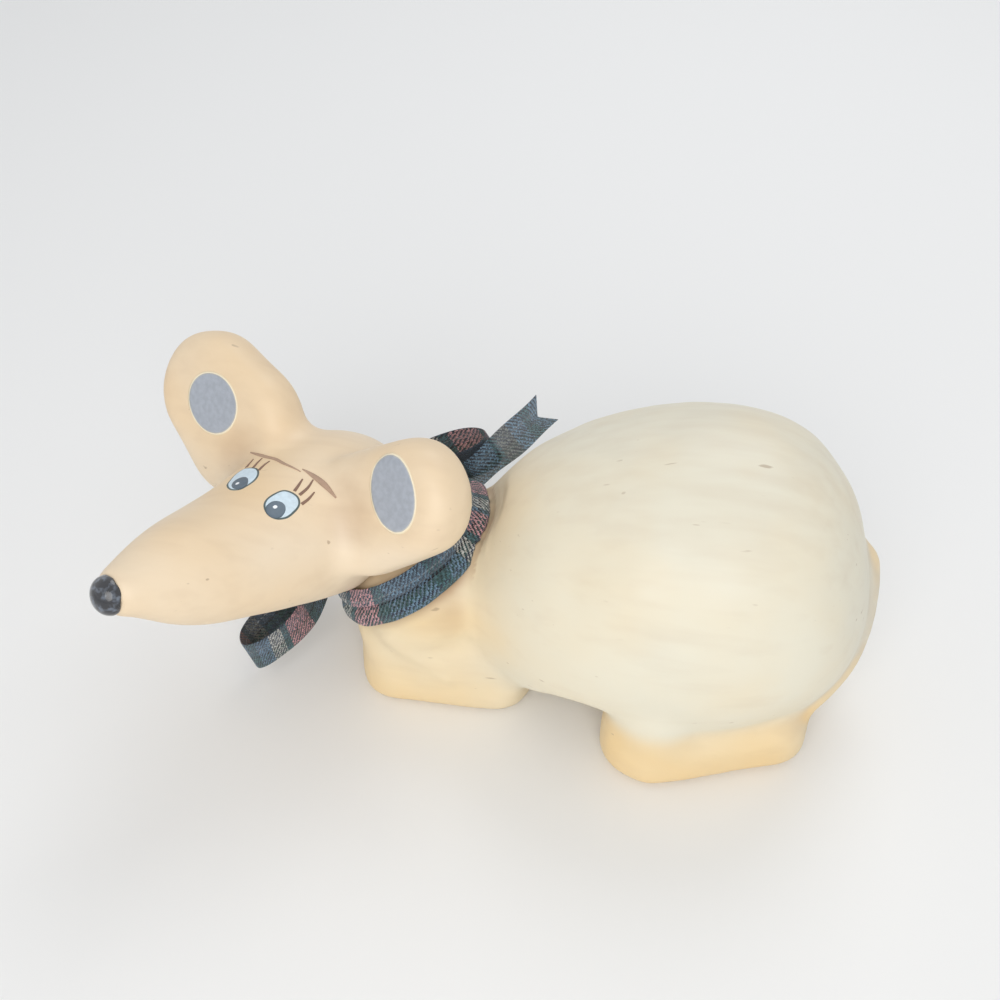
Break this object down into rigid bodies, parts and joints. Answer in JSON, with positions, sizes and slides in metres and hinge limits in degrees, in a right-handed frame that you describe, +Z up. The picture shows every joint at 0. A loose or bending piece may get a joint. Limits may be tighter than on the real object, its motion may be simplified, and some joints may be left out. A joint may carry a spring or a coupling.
{
  "type": "carved mouse figurine",
  "caption": "Carved wooden mouse lying on its belly with its head turned to its left, painted eyes and ears, and a plaid ribbon tied round its neck.",
  "frame": {"origin": "on the ground under the middle of the rump, on the flat that the body is cut to", "axes": "+X from the head to the rump, +Y to the mouse's right side, +Z up"},
  "size_m": [0.2034, 0.1119, 0.0905],
  "materials": {
    "pale_wood": "cream wash under satin varnish",
    "head_wood": "tan wash under satin varnish",
    "peg_wood": "bare",
    "black_gloss_paint": "gloss",
    "grey_blue_paint": "matt",
    "eye_white_paint": "matt",
    "iris_paint": "matt",
    "plaid_ribbon": "woven"
  },
  "bodies": {
    "root": {"body": "pale_wood", "head": "head_wood", "neck_peg": "peg_wood", "nose": "black_gloss_paint", "ear_oval_left": "grey_blue_paint", "ear_oval_right": "grey_blue_paint", "eye_white_left": "eye_white_paint", "eye_white_right": "eye_white_paint", "iris_left": "iris_paint", "iris_right": "iris_paint", "ribbon_band": "plaid_ribbon", "ribbon_knot": "plaid_ribbon", "ribbon_loop_left": "plaid_ribbon", "ribbon_loop_right": "plaid_ribbon", "ribbon_tail_left": "plaid_ribbon", "ribbon_tail_right": "plaid_ribbon"}
  },
  "joints": []
}
